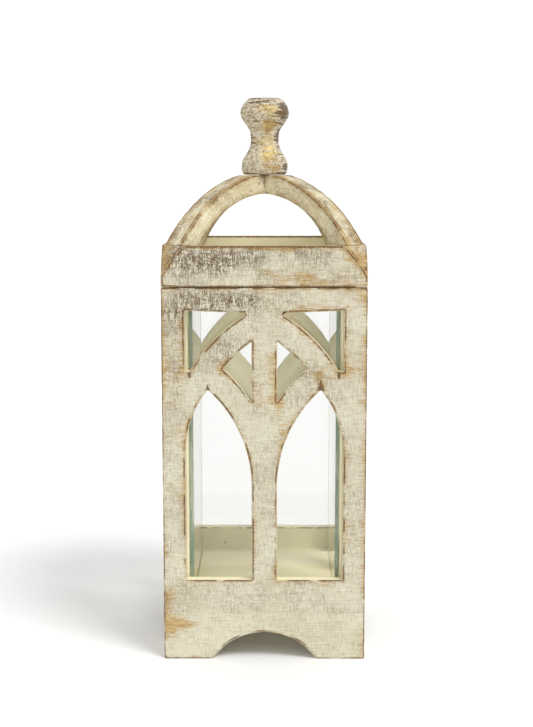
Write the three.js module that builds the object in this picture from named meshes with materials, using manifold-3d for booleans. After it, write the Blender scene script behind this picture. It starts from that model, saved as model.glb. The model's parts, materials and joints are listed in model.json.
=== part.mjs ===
// Candle lantern: a square timber case with fretted walls on a footed base, clear glass panes
// inside the walls, and a hinged lid of four header boards, four curved ribs and a turned finial.
//
// Millimetres, +Z up. The origin is the centre of the underside and the front faces -Y.
// A wall is drawn once, as the front one, and turned about Z onto each side of the case.

import * as THREE from "three";
import { mergeVertices } from "three/addons/utils/BufferGeometryUtils.js";
import Module from "manifold-3d";

const wasm = await Module();
wasm.setup();

// ---------------------------------------------------------------------------------------------
// Driving dimensions
// ---------------------------------------------------------------------------------------------

const jointGap = 0.3; // left between any two pieces that touch

// Case
const caseWidth = 150; // outside, the same front to back
const caseHeight = 279.5; // underside of the feet to the seam below the lid
const boardThickness = 9; // walls, aprons and header
const apronHeight = 35; // footed boards round the base
const railHeight = 26; // board that closes the wall below the lancets
const floorThickness = 8.5;
const floorRebate = 1; // how far the floor's edge is let down for the posts and panes to stand in
const postWidth = 9; // square posts in the corners that the panes are fixed to
const footBlockWidth = 14; // square blocks behind the feet that carry the floor

// Cut-out between the feet, in each apron
const footLength = 36; // from the case's corner to the cut-out
const archHeight = 20.6;
const archShoulder = { width: 8.3, height: 9.1 }; // straight slope at each foot

// Fretwork: heights are measured down from the seam
const stileWidth = 8.1; // beside the openings, inside the thickness of the side walls
const mullionWidth = 18.8;
const bandWidth = 19; // of the two crossing bows
const topBandWidth = 16.5; // solid above the spandrels' outer corners
const spandrelTopFall = 1.8; // how far a spandrel's top edge falls towards the mullion
const lancetApex = { inset: 16.5, drop: 74.8 }; // inset from the outer edge of the opening
const lancetSpringDrop = { outer: 122, inner: 147.5 }; // where the sides start to bend
const spandrelTip = { width: 3.3, drop: 61.2 }; // blunt lower end, beside the stile
const spandrelNose = { inset: 5.3, height: 1.8 }; // blunt upper end, beside the mullion
const bowRadius = 124; // of the bow that passes below the spandrel

// Glass
const paneThickness = 3;
const paneHeight = 227;

// Lid
const lidGap = 0.4; // open seam between the case and the lid
const headerHeight = 30;
const cornerCutHeight = 8.5; // left standing at the header's outer corners
const crownRise = 50.6; // header's top to the flat that the finial stands on
const crownFlatRadius = 20;
const ribWidth = 17;
const ribDepth = { crown: 14.4, foot: 19.6 };
const ribOuterRadius = 122.5;
const ribInnerRadius = 85.3;
const ribTenonDepth = 21; // how far a rib reaches down inside the header

// Finial
const finialHeight = 58;
const finialFootRadius = 15.9;
const finialTopRadius = 11.7;
const finialOutline = [
  // radius and height of the turned outline, from the foot's rounded edge to the top's
  [17.3, 1.6],
  [17.9, 5.6],
  [16.9, 11.2],
  [13.6, 17],
  [11.3, 22],
  [10.8, 27.4],
  [11.7, 33.6],
  [15.3, 39],
  [18.1, 43.6],
  [18.6, 48.4],
  [16.6, 53.6],
  [13.4, 57],
];
const dowelRadius = 4;
const dowelSink = { crown: 10.5, finial: 16 };
const dowelChamfer = 1;

// Hinges, on the back of the case
const hingeInset = 37; // from the case's side to the middle of the hinge
const hingeLength = 25;
const leafThickness = 1.5;
const leafHeight = 13; // from the pin's axis to the edge of the leaf
const knuckleRadius = 2;
const middleKnuckleLength = 8.4;
const pinRadius = 0.8;
const pinHead = { radius: 1.5, thickness: 0.9 };
const screwLength = 7.8;
const screwHeadRadius = 2.2;
const screwShankRadius = 1.1;
const screwTipLength = 2.2;
const screwSlot = { width: 0.7, depth: 0.5 };
const screwSpacing = 14; // between the two screws of a leaf
const screwDrop = 8.2; // from the pin's axis

// How finely round stretches are divided
const arcSteps = 20;
const turnedSides = 32;
const smallSides = 16;
const outlineStepsPerPoint = 2; // along the finial's turned outline
const mergeDistance = 1e-4; // corners closer than this are one corner

// How far cutting shapes reach past what they cut
const cutOvershoot = 1;

// ---------------------------------------------------------------------------------------------
// Derived sizes
// ---------------------------------------------------------------------------------------------

const halfCase = caseWidth / 2;
const innerHalf = halfCase - boardThickness; // inner faces of the walls
const openingHalf = innerHalf - stileWidth;
const mullionHalf = mullionWidth / 2;
const railBottom = apronHeight + jointGap;
const sillHeight = apronHeight + railHeight;
const floorTop = apronHeight + jointGap + floorThickness;
const glassOuterHalf = innerHalf - jointGap - postWidth - jointGap;
const glassInnerHalf = glassOuterHalf - paneThickness;
const uprightFoot = floorTop - floorRebate + jointGap; // posts and panes stand here
const lidBottom = caseHeight + lidGap;
const headerTop = lidBottom + headerHeight;
const crownSeat = headerTop + crownRise;
const cornerRadius = halfCase * Math.SQRT2; // from the centre to the case's corner
const hingeAxis = { y: halfCase + jointGap + knuckleRadius, z: caseHeight + lidGap / 2 };
const leafInnerFace = halfCase + jointGap;
const farOutside = 2 * caseWidth; // past everything, for shapes that cut a whole side away

const sides = { front: 0, right: 1, back: 2, left: 3 }; // quarter turns about Z
const corners = { front_left: 0, front_right: 1, back_right: 2, back_left: 3 };

// ---------------------------------------------------------------------------------------------
// Materials
// ---------------------------------------------------------------------------------------------

const paintedWood = { color: 0xded6c2, roughness: 0.75, metalness: 0 };
const paintedRib = { color: 0xe4dcc0, roughness: 0.75, metalness: 0 };
const wornPaint = { color: 0xc9ad72, roughness: 0.7, metalness: 0 };
const plainWood = { color: 0xb89b6a, roughness: 0.85, metalness: 0 };
const clearGlass = { color: 0xbfd0c2, roughness: 0.05, metalness: 0, transparent: true, opacity: 0.35 };
const agedBrass = { color: 0xa98748, roughness: 0.4, metalness: 1 };

// ---------------------------------------------------------------------------------------------
// Solids
// ---------------------------------------------------------------------------------------------

/** The triangles of an indexed geometry that have three different corners. */
function wholeTriangles(indexed) {
  const kept = [];
  const index = indexed.index.array;
  for (let first = 0; first < index.length; first += 3) {
    const [a, b, c] = index.slice(first, first + 3);
    if (a !== b && b !== c && c !== a) {
      kept.push(a, b, c);
    }
  }
  return new Uint32Array(kept);
}

/** A closed geometry as a manifold solid. */
function solidOf(geometry) {
  const bare = geometry.clone();
  bare.deleteAttribute("normal");
  bare.deleteAttribute("uv");
  const merged = mergeVertices(bare, mergeDistance);
  return new wasm.Manifold(
    new wasm.Mesh({
      numProp: 3,
      vertProperties: new Float32Array(merged.attributes.position.array),
      triVerts: wholeTriangles(merged),
    }),
  );
}

/** A manifold solid as a geometry. */
function geometryOf(solid) {
  const cut = solid.getMesh();
  const geometry = new THREE.BufferGeometry();
  geometry.setAttribute("position", new THREE.BufferAttribute(new Float32Array(cut.vertProperties), 3));
  geometry.setIndex(new THREE.BufferAttribute(new Uint32Array(cut.triVerts), 1));
  geometry.computeVertexNormals();
  return geometry;
}

/** A box from its lowest to its highest corner. */
function boxBetween(low, high) {
  const box = new THREE.BoxGeometry(high[0] - low[0], high[1] - low[1], high[2] - low[2]);
  return box.translate((low[0] + high[0]) / 2, (low[1] + high[1]) / 2, (low[2] + high[2]) / 2);
}

/** A shape drawn in X and Z, given a thickness that runs towards +Y from the plane at y. */
function slab(shape, thickness, y) {
  const geometry = new THREE.ExtrudeGeometry(shape, { depth: thickness, bevelEnabled: false });
  return geometry.rotateX(Math.PI / 2).translate(0, y + thickness, 0);
}

/** A cylinder along X, between two places on that axis. */
function rod(radius, from, to) {
  const cylinder = new THREE.CylinderGeometry(radius, radius, to - from, smallSides);
  return cylinder.rotateZ(-Math.PI / 2).translate((from + to) / 2, 0, 0);
}

const lantern = new THREE.Group();

/** Adds one named piece to the lantern, turned by quarter turns about Z. */
function addPiece(name, geometry, finish, quarterTurns = 0) {
  const piece = new THREE.Mesh(geometry, new THREE.MeshStandardMaterial(finish));
  piece.name = name;
  piece.rotation.z = (quarterTurns * Math.PI) / 2;
  lantern.add(piece);
}

// ---------------------------------------------------------------------------------------------
// Plane geometry
// ---------------------------------------------------------------------------------------------

/** Centre of the circle through two points, on the right of the way from the first to the second. */
function centreRightOf(from, to, radius) {
  const middle = new THREE.Vector2().addVectors(from, to).multiplyScalar(0.5);
  const way = new THREE.Vector2().subVectors(to, from);
  const rise = Math.sqrt(radius * radius - way.lengthSq() / 4);
  const right = new THREE.Vector2(way.y, -way.x).normalize();
  return middle.addScaledVector(right, rise);
}

/** The height at which a circle's upper half passes x. */
function heightOnCircle(centre, radius, x) {
  return centre.y + Math.sqrt(radius * radius - (x - centre.x) ** 2);
}

/** The x at which a circle passes a height, on its left or its right half. */
function acrossOnCircle(centre, radius, height, half) {
  const reach = Math.sqrt(radius * radius - (height - centre.y) ** 2);
  return centre.x + half * reach;
}

/** The upper of the two points where two circles meet. */
function upperMeeting(centreA, radiusA, centreB, radiusB) {
  const way = new THREE.Vector2().subVectors(centreB, centreA);
  const distance = way.length();
  const along = (radiusA ** 2 - radiusB ** 2 + distance ** 2) / (2 * distance);
  const across = Math.sqrt(radiusA ** 2 - along ** 2);
  way.normalize();
  const foot = centreA.clone().addScaledVector(way, along);
  const sideways = new THREE.Vector2(-way.y, way.x);
  const one = foot.clone().addScaledVector(sideways, across);
  const other = foot.clone().addScaledVector(sideways, -across);
  return one.y > other.y ? one : other;
}

/** The points of a circle's arc after its start, up to and including its end. */
function arc(centre, start, end, clockwise) {
  const radius = Math.hypot(end.x - centre.x, end.y - centre.y);
  const startAngle = Math.atan2(start.y - centre.y, start.x - centre.x);
  const endAngle = Math.atan2(end.y - centre.y, end.x - centre.x);
  const curve = new THREE.EllipseCurve(centre.x, centre.y, radius, radius, startAngle, endAngle, clockwise);
  return curve.getPoints(arcSteps).slice(1);
}

/** The same outline mirrored in x = 0, turned round so that it still runs the same way. */
function mirrored(outline) {
  return outline.map((point) => new THREE.Vector2(-point.x, point.y)).reverse();
}

// ---------------------------------------------------------------------------------------------
// Walls
// ---------------------------------------------------------------------------------------------

// Left half of the fretwork, seen from the front: x runs from the stile's edge to the mullion's.
const stileEdge = -openingHalf;
const mullionEdge = -mullionHalf;
const apex = new THREE.Vector2(stileEdge + lancetApex.inset, caseHeight - lancetApex.drop);
const outerSpring = new THREE.Vector2(stileEdge, caseHeight - lancetSpringDrop.outer);
const innerSpring = new THREE.Vector2(mullionEdge, caseHeight - lancetSpringDrop.inner);

/** Centre of the arc that leaves the upright at its spring point and reaches the apex. */
function lancetCentre(spring) {
  const across = apex.x - spring.x;
  const up = apex.y - spring.y;
  const radius = (across ** 2 + up ** 2) / (2 * Math.abs(across));
  return new THREE.Vector2(spring.x + Math.sign(across) * radius, spring.y);
}

const outerArcCentre = lancetCentre(outerSpring);
const innerArcCentre = lancetCentre(innerSpring);

// The rising bow runs from the stile, over the lancet's point, to the top of the mullion.
const spandrelTop = caseHeight - topBandWidth;
const spandrelTipPoint = new THREE.Vector2(stileEdge + spandrelTip.width, caseHeight - spandrelTip.drop);
const spandrelNoseTop = new THREE.Vector2(mullionEdge - spandrelNose.inset, spandrelTop - spandrelTopFall);
const spandrelNosePoint = new THREE.Vector2(spandrelNoseTop.x, spandrelNoseTop.y - spandrelNose.height);
const bowCentre = centreRightOf(spandrelTipPoint, spandrelNosePoint, bowRadius);

/** Outline of the left spandrel, the opening above the rising bow. */
function spandrelOutline() {
  return [
    new THREE.Vector2(stileEdge, spandrelTipPoint.y),
    spandrelTipPoint,
    ...arc(bowCentre, spandrelTipPoint, spandrelNosePoint, true),
    spandrelNoseTop,
    new THREE.Vector2(stileEdge, spandrelTop),
  ];
}

/** Outline of the left half diamond, the opening between the two bows and the mullion. */
function diamondOutline() {
  const risingRadius = bowRadius - bandWidth;
  const fallingRadius = Math.abs(innerArcCentre.x - innerSpring.x) + bandWidth;
  const outer = upperMeeting(bowCentre, risingRadius, innerArcCentre, fallingRadius);
  const top = new THREE.Vector2(mullionEdge, heightOnCircle(bowCentre, risingRadius, mullionEdge));
  const low = new THREE.Vector2(mullionEdge, heightOnCircle(innerArcCentre, fallingRadius, mullionEdge));
  const fallingArc = arc(innerArcCentre, outer, low, true).slice(0, -1);
  return [low, top, ...arc(bowCentre, top, outer, false), ...fallingArc];
}

/** One lancet's edge, from the top of its straight outer side over its point to its inner foot. */
function lancetEdge() {
  return [
    outerSpring,
    ...arc(outerArcCentre, outerSpring, apex, true),
    ...arc(innerArcCentre, apex, innerSpring, true),
    new THREE.Vector2(mullionEdge, sillHeight + jointGap),
  ];
}

/** A wall's outline before the tracery is cut: a comb of two stiles and a mullion. */
function combShape(halfWidth) {
  return new THREE.Shape([
    new THREE.Vector2(-halfWidth, railBottom),
    new THREE.Vector2(stileEdge, railBottom),
    ...lancetEdge(),
    ...mirrored(lancetEdge()),
    new THREE.Vector2(openingHalf, railBottom),
    new THREE.Vector2(halfWidth, railBottom),
    new THREE.Vector2(halfWidth, caseHeight),
    new THREE.Vector2(-halfWidth, caseHeight),
  ]);
}

/** A fretted wall, with two spandrels and two half diamonds cut above its lancets. */
function fretwork(halfWidth) {
  let wall = solidOf(slab(combShape(halfWidth), boardThickness, -halfCase));
  for (const opening of [spandrelOutline(), diamondOutline()]) {
    for (const outline of [opening, mirrored(opening)]) {
      const depth = boardThickness + 2 * cutOvershoot;
      const cutter = slab(new THREE.Shape(outline), depth, -halfCase - cutOvershoot);
      wall = wall.subtract(solidOf(cutter));
    }
  }
  return wall;
}

/** An apron board with the arched cut-out that leaves a foot at each end. */
function apronShape(halfWidth) {
  const archHalf = halfCase - footLength;
  const shoulder = new THREE.Vector2(archHalf - archShoulder.width, archShoulder.height);
  const rise = archHeight - shoulder.y;
  const radius = (shoulder.x ** 2 + rise ** 2) / (2 * rise);
  const centre = new THREE.Vector2(0, archHeight - radius);
  const farShoulder = new THREE.Vector2(-shoulder.x, shoulder.y);
  return new THREE.Shape([
    new THREE.Vector2(-halfWidth, 0),
    new THREE.Vector2(-archHalf, 0),
    farShoulder,
    ...arc(centre, farShoulder, shoulder, true),
    new THREE.Vector2(archHalf, 0),
    new THREE.Vector2(halfWidth, 0),
    new THREE.Vector2(halfWidth, apronHeight),
    new THREE.Vector2(-halfWidth, apronHeight),
  ]);
}

/** Half the width of a board: the side ones cover the ends of the front and back ones. */
function boardHalfWidth(side) {
  const coversEnds = side === "left" || side === "right";
  return coversEnds ? halfCase : innerHalf - jointGap;
}

function addWalls() {
  for (const [side, quarterTurns] of Object.entries(sides)) {
    const halfWidth = boardHalfWidth(side);
    let wall = fretwork(halfWidth);
    if (side === "back") {
      wall = wall.subtract(pilotHoles("case"));
    }
    addPiece(`fretwork_${side}`, geometryOf(wall), paintedWood, quarterTurns);

    const railHalf = openingHalf - jointGap;
    const railLow = [-railHalf, -halfCase, railBottom];
    const railHigh = [railHalf, -innerHalf, sillHeight];
    addPiece(`bottom_rail_${side}`, boxBetween(railLow, railHigh), paintedWood, quarterTurns);

    const apron = slab(apronShape(halfWidth), boardThickness, -halfCase);
    addPiece(`apron_${side}`, apron, paintedWood, quarterTurns);
  }
}

// ---------------------------------------------------------------------------------------------
// Inside the case
// ---------------------------------------------------------------------------------------------

/** A square upright in the front-left inner corner. */
function cornerUpright(width, low, high) {
  const outer = -(innerHalf - jointGap);
  return boxBetween([outer, outer, low], [outer + width, outer + width, high]);
}

/** The floor, rebated round its edge so that its raised middle keeps the panes in place. */
function floorBoard() {
  const edge = innerHalf - jointGap;
  const middle = glassInnerHalf - jointGap;
  const bottom = floorTop - floorThickness;
  const base = boxBetween([-edge, -edge, bottom], [edge, edge, floorTop - floorRebate]);
  const raised = boxBetween([-middle, -middle, bottom], [middle, middle, floorTop]);
  return geometryOf(solidOf(base).add(solidOf(raised)));
}

function addFloorAndUprights() {
  addPiece("floor_board", floorBoard(), paintedWood);
  for (const [corner, quarterTurns] of Object.entries(corners)) {
    const block = cornerUpright(footBlockWidth, 0, apronHeight);
    addPiece(`foot_block_${corner}`, block, plainWood, quarterTurns);
    const post = cornerUpright(postWidth, uprightFoot, caseHeight);
    addPiece(`corner_post_${corner}`, post, paintedWood, quarterTurns);
  }
}

/** The side panes run the full depth of the glass box; the front and back ones fit between them. */
function addGlass() {
  for (const [side, quarterTurns] of Object.entries(sides)) {
    const fullDepth = side === "left" || side === "right";
    const paneHalf = fullDepth ? glassOuterHalf : glassInnerHalf - jointGap;
    const pane = boxBetween(
      [-paneHalf, -glassOuterHalf, uprightFoot],
      [paneHalf, -glassInnerHalf, uprightFoot + paneHeight],
    );
    addPiece(`glass_pane_${side}`, pane, clearGlass, quarterTurns);
  }
}

// ---------------------------------------------------------------------------------------------
// Lid. A rib lies in the upright plane through a corner: its outline is drawn in the distance
// from the lantern's axis and the height, and then turned onto the diagonal.
// ---------------------------------------------------------------------------------------------

const crownFlatEdge = new THREE.Vector2(crownFlatRadius, crownSeat);
const cornerFoot = new THREE.Vector2(cornerRadius, lidBottom + cornerCutHeight);
const outerCurveCentre = centreRightOf(crownFlatEdge, cornerFoot, ribOuterRadius);
const outerFootReach = acrossOnCircle(outerCurveCentre, ribOuterRadius, headerTop, 1);
const innerCrown = new THREE.Vector2(0, crownSeat - ribDepth.crown);
const innerFoot = new THREE.Vector2(outerFootReach - ribDepth.foot, headerTop);
const innerCurveCentre = centreRightOf(innerCrown, innerFoot, ribInnerRadius);

/** Turns a slab that stands in X and Z onto the diagonal through the front-left corner. */
function ontoDiagonal(geometry) {
  return geometry.rotateZ((-3 * Math.PI) / 4);
}

/** A point of a rib's outer or inner curve at a height. */
function onOuterCurve(height) {
  return new THREE.Vector2(acrossOnCircle(outerCurveCentre, ribOuterRadius, height, 1), height);
}

function onInnerCurve(height) {
  return new THREE.Vector2(acrossOnCircle(innerCurveCentre, ribInnerRadius, height, 1), height);
}

/** Everything outside the ribs' outer curve, to trim the header's front-left corner. */
function cornerTrim() {
  const high = onOuterCurve(headerTop + cutOvershoot);
  const low = onOuterCurve(lidBottom + cutOvershoot);
  const shape = new THREE.Shape([
    new THREE.Vector2(farOutside, low.y),
    new THREE.Vector2(farOutside, high.y),
    high,
    ...arc(outerCurveCentre, high, low, true),
  ]);
  return solidOf(ontoDiagonal(slab(shape, caseWidth, -halfCase)));
}

/** A header board, trimmed at both ends where the ribs' outer curve runs on through it. */
function headerBoard(side) {
  const halfWidth = boardHalfWidth(side);
  const board = boxBetween([-halfWidth, -halfCase, lidBottom], [halfWidth, -innerHalf, headerTop]);
  const leftTrim = cornerTrim();
  let solid = solidOf(board).subtract(leftTrim).subtract(leftTrim.rotate([0, 0, 90]));
  if (side === "back") {
    solid = solid.subtract(pilotHoles("lid"));
  }
  return geometryOf(solid);
}

/** The front-left rib before it is fitted: a bowed bar from the lantern's axis to its tenon. */
function ribBlank() {
  const tenonBottom = headerTop - ribTenonDepth;
  const outerLow = onOuterCurve(tenonBottom);
  const innerLow = onInnerCurve(tenonBottom);
  const shape = new THREE.Shape([
    innerCrown,
    ...arc(innerCurveCentre, innerCrown, innerLow, true),
    outerLow,
    ...arc(outerCurveCentre, outerLow, crownFlatEdge, false),
    new THREE.Vector2(0, crownSeat),
  ]);
  return solidOf(ontoDiagonal(slab(shape, ribWidth, -ribWidth / 2)));
}

/** The quarter of the plan that the front-left rib keeps where the four ribs meet in mitres. */
function mitreQuarter() {
  const start = -jointGap / 2;
  return solidOf(boxBetween([-farOutside, -farOutside, 0], [start, start, farOutside + crownSeat]));
}

/** The header's four boards as one ring, grown by the gap that a rib keeps to them. */
function headerRing() {
  const top = headerTop + jointGap;
  const outer = boxBetween([-farOutside, -farOutside, 0], [farOutside, farOutside, top]);
  const hollowHalf = innerHalf - jointGap;
  const hollow = boxBetween(
    [-hollowHalf, -hollowHalf, -cutOvershoot],
    [hollowHalf, hollowHalf, top + cutOvershoot],
  );
  return solidOf(outer).subtract(solidOf(hollow));
}

/** The socket that the finial's dowel enters where the ribs meet. */
function crownSocket() {
  const radius = dowelRadius + jointGap;
  const low = crownSeat - dowelSink.crown - jointGap;
  const high = crownSeat + cutOvershoot;
  const socket = new THREE.CylinderGeometry(radius, radius, high - low, turnedSides);
  return solidOf(socket.rotateX(Math.PI / 2).translate(0, 0, (low + high) / 2));
}

function addHeaderAndRibs() {
  for (const [side, quarterTurns] of Object.entries(sides)) {
    addPiece(`header_${side}`, headerBoard(side), paintedWood, quarterTurns);
  }
  const fitted = ribBlank().intersect(mitreQuarter()).subtract(headerRing()).subtract(crownSocket());
  for (const [corner, quarterTurns] of Object.entries(corners)) {
    addPiece(`crown_rib_${corner}`, geometryOf(fitted), paintedRib, quarterTurns);
  }
}

/** The finial's turned outline as points, from its foot to its top. */
function turnedOutline() {
  const points = finialOutline.map(([radius, height]) => new THREE.Vector2(radius, height));
  return new THREE.SplineCurve(points).getPoints(points.length * outlineStepsPerPoint);
}

/** The finial, with a blind hole in its foot for the dowel. */
function addFinial() {
  const boreRadius = dowelRadius + jointGap;
  const profile = [
    new THREE.Vector2(0, dowelSink.finial),
    new THREE.Vector2(boreRadius, dowelSink.finial),
    new THREE.Vector2(boreRadius, 0),
    new THREE.Vector2(finialFootRadius, 0),
    ...turnedOutline(),
    new THREE.Vector2(finialTopRadius, finialHeight),
    new THREE.Vector2(0, finialHeight),
  ];
  const finial = new THREE.LatheGeometry(profile, turnedSides).rotateX(Math.PI / 2);
  addPiece("finial", finial.translate(0, 0, crownSeat + jointGap), wornPaint);
}

/** The dowel that joins the finial to the meeting of the ribs, chamfered at both ends. */
function addDowel() {
  const low = crownSeat - dowelSink.crown;
  const high = crownSeat + dowelSink.finial - jointGap;
  const profile = [
    new THREE.Vector2(0, low),
    new THREE.Vector2(dowelRadius - dowelChamfer, low),
    new THREE.Vector2(dowelRadius, low + dowelChamfer),
    new THREE.Vector2(dowelRadius, high - dowelChamfer),
    new THREE.Vector2(dowelRadius - dowelChamfer, high),
    new THREE.Vector2(0, high),
  ];
  const dowel = new THREE.LatheGeometry(profile, turnedSides).rotateX(Math.PI / 2);
  addPiece("finial_dowel", dowel, plainWood);
}

// ---------------------------------------------------------------------------------------------
// Hinges. Each is drawn round its pin, which lies along X through the middle of the seam.
// A leaf of the case hangs below the pin (direction -1) and a leaf of the lid stands above it (+1).
// ---------------------------------------------------------------------------------------------

const hinges = { left: -(halfCase - hingeInset), right: halfCase - hingeInset };
const leaves = { case: -1, lid: 1 };
const screwPlaces = { outer: -1, inner: 1 };
const leafBackFace = leafInnerFace - hingeAxis.y; // towards the wall, seen from the pin
const leafFrontFace = leafBackFace + leafThickness;

/** Where a screw stands, seen from the middle of its hinge's pin. */
function screwPlace(leafDirection, place) {
  return { x: (place * screwSpacing) / 2, z: leafDirection * screwDrop };
}

/** A countersunk screw that runs towards -Y from its head's flat, grown by a clearance. */
function screwBody(clearance) {
  const headDepth = screwHeadRadius - screwShankRadius;
  const end = screwLength + clearance;
  const grow = clearance * Math.SQRT2; // square to the head's cone, the clearance stays the same
  const profile = [
    new THREE.Vector2(0, 0),
    new THREE.Vector2(screwHeadRadius + grow, 0),
    new THREE.Vector2(screwShankRadius + clearance, headDepth + grow - clearance),
    new THREE.Vector2(screwShankRadius + clearance, end - screwTipLength),
    new THREE.Vector2(0, end),
  ];
  return new THREE.LatheGeometry(profile, smallSides).rotateX(Math.PI);
}

/** The four screw holes of the case's or the lid's leaves, seen from the board's own front face. */
function pilotHoles(leaf) {
  let holes = null;
  for (const hingeX of Object.values(hinges)) {
    for (const place of Object.values(screwPlaces)) {
      const spot = screwPlace(leaves[leaf], place);
      const hole = screwBody(jointGap).translate(
        hingeX + spot.x,
        hingeAxis.y + leafFrontFace,
        hingeAxis.z + spot.z,
      );
      const turned = solidOf(hole.rotateZ(Math.PI));
      holes = holes ? holes.add(turned) : turned;
    }
  }
  return holes;
}

/** The two outer knuckles belong to the case's leaf and the middle one to the lid's. */
function knuckleSpans(leaf) {
  const end = hingeLength / 2;
  const middle = middleKnuckleLength / 2;
  if (leaf === "lid") {
    return [[-middle, middle]];
  }
  return [
    [-end, -middle - jointGap],
    [middle + jointGap, end],
  ];
}

/** A hinge leaf: a screwed plate, its knuckles, and the necks that join them. */
function hingeLeaf(leaf) {
  const direction = leaves[leaf];
  const plateEdges = [direction * leafHeight, direction * (knuckleRadius + jointGap)];
  const neckEdges = [direction * (knuckleRadius + 2 * jointGap), 0];
  const plate = boxBetween(
    [-hingeLength / 2, leafBackFace, Math.min(...plateEdges)],
    [hingeLength / 2, leafFrontFace, Math.max(...plateEdges)],
  );
  let solid = solidOf(plate);
  for (const [from, to] of knuckleSpans(leaf)) {
    const neck = boxBetween(
      [from, leafBackFace, Math.min(...neckEdges)],
      [to, leafFrontFace, Math.max(...neckEdges)],
    );
    solid = solid.add(solidOf(neck)).add(solidOf(rod(knuckleRadius, from, to)));
  }
  solid = solid.subtract(solidOf(rod(pinRadius + jointGap, -hingeLength, hingeLength)));
  for (const place of Object.values(screwPlaces)) {
    const spot = screwPlace(direction, place);
    solid = solid.subtract(solidOf(screwBody(jointGap).translate(spot.x, leafFrontFace, spot.z)));
  }
  return geometryOf(solid);
}

/** A slotted screw with its head at the leaf's outer face. */
function screw() {
  const slotReach = screwHeadRadius + cutOvershoot;
  const slot = boxBetween(
    [-slotReach, -screwSlot.depth, -screwSlot.width / 2],
    [slotReach, cutOvershoot, screwSlot.width / 2],
  );
  return geometryOf(solidOf(screwBody(0)).subtract(solidOf(slot)));
}

/** A pin with a small flat head at each end, outside the knuckles. */
function hingePin() {
  const shankEnd = hingeLength / 2 + jointGap;
  const headEnd = shankEnd + pinHead.thickness;
  const profile = [
    new THREE.Vector2(0, -headEnd),
    new THREE.Vector2(pinHead.radius, -headEnd),
    new THREE.Vector2(pinHead.radius, -shankEnd),
    new THREE.Vector2(pinRadius, -shankEnd),
    new THREE.Vector2(pinRadius, shankEnd),
    new THREE.Vector2(pinHead.radius, shankEnd),
    new THREE.Vector2(pinHead.radius, headEnd),
    new THREE.Vector2(0, headEnd),
  ];
  return new THREE.LatheGeometry(profile, smallSides).rotateZ(-Math.PI / 2);
}

function addHinges() {
  for (const [side, x] of Object.entries(hinges)) {
    addPiece(`hinge_pin_${side}`, hingePin().translate(x, hingeAxis.y, hingeAxis.z), agedBrass);
    for (const [leaf, direction] of Object.entries(leaves)) {
      const plate = hingeLeaf(leaf).translate(x, hingeAxis.y, hingeAxis.z);
      addPiece(`hinge_leaf_${leaf}_${side}`, plate, agedBrass);
      for (const [placeName, place] of Object.entries(screwPlaces)) {
        const spot = screwPlace(direction, x < 0 ? place : -place);
        const placed = screw().translate(x + spot.x, hingeAxis.y + leafFrontFace, hingeAxis.z + spot.z);
        addPiece(`screw_${leaf}_${side}_${placeName}`, placed, agedBrass);
      }
    }
  }
}

addWalls();
addFloorAndUprights();
addGlass();
addHeaderAndRibs();
addFinial();
addDowel();
addHinges();

export default lantern;
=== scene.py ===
# %% [markdown]
# # A candle lantern in worn whitewash
#
# The lantern is a square case of thin boards. Gothic tracery is sawn into its four walls, clear
# panes stand inside them, and a lid of four header boards, four bowed ribs and a turned finial
# closes the top. The boards were stained brown, painted gold in places, whitewashed, and then
# rubbed back, so the older coats show along the edges and in the brush marks.
#
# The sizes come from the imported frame, which is already in place. This script gives the pieces
# their worn edges, paint, glass and brass.

import json
import math

import bmesh
import bpy
import numpy as np
from mathutils import Euler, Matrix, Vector
from mathutils.bvhtree import BVHTree

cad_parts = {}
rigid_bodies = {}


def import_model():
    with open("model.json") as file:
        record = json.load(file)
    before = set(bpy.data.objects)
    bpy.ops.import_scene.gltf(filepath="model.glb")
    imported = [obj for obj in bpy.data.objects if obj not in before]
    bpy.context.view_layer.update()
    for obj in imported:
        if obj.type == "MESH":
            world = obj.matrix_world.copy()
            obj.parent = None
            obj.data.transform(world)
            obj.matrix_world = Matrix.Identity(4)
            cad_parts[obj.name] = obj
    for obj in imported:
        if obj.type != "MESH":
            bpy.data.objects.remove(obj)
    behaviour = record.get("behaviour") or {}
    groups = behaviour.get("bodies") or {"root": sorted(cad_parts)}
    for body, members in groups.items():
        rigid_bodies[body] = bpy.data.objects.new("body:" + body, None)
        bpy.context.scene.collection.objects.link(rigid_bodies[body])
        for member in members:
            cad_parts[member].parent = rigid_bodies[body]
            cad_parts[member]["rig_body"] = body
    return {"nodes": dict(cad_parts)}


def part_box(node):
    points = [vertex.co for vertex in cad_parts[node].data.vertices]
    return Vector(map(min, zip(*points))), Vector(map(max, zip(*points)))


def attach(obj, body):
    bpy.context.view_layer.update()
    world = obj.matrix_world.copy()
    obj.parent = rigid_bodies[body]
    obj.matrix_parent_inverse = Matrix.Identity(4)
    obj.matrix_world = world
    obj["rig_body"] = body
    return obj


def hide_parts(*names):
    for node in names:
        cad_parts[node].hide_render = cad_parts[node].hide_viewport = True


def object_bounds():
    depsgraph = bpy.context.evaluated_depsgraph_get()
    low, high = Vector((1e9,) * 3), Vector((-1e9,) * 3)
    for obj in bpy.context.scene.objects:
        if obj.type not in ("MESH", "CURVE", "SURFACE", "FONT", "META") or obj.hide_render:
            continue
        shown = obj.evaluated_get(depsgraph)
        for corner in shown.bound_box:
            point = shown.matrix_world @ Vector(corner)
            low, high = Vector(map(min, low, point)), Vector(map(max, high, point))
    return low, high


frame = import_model()
cad_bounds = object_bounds()

# %% [markdown]
# ## Places on a board
#
# Brush marks run along and up each board, so the paint is worked out in millimetres, across,
# through and up. A wall is drawn like the front one and turned by quarter turns about Z, and its
# places are turned back in the same way. Marks that belong to a wall use these places.

# %% Quarter turns
MM = 1000.0
QUARTER_TURNS = {"front": 0, "right": 1, "back": 2, "left": 3}
CORNER_TURNS = {"front_left": 0, "front_right": 1, "back_right": 2, "back_left": 3}


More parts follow.
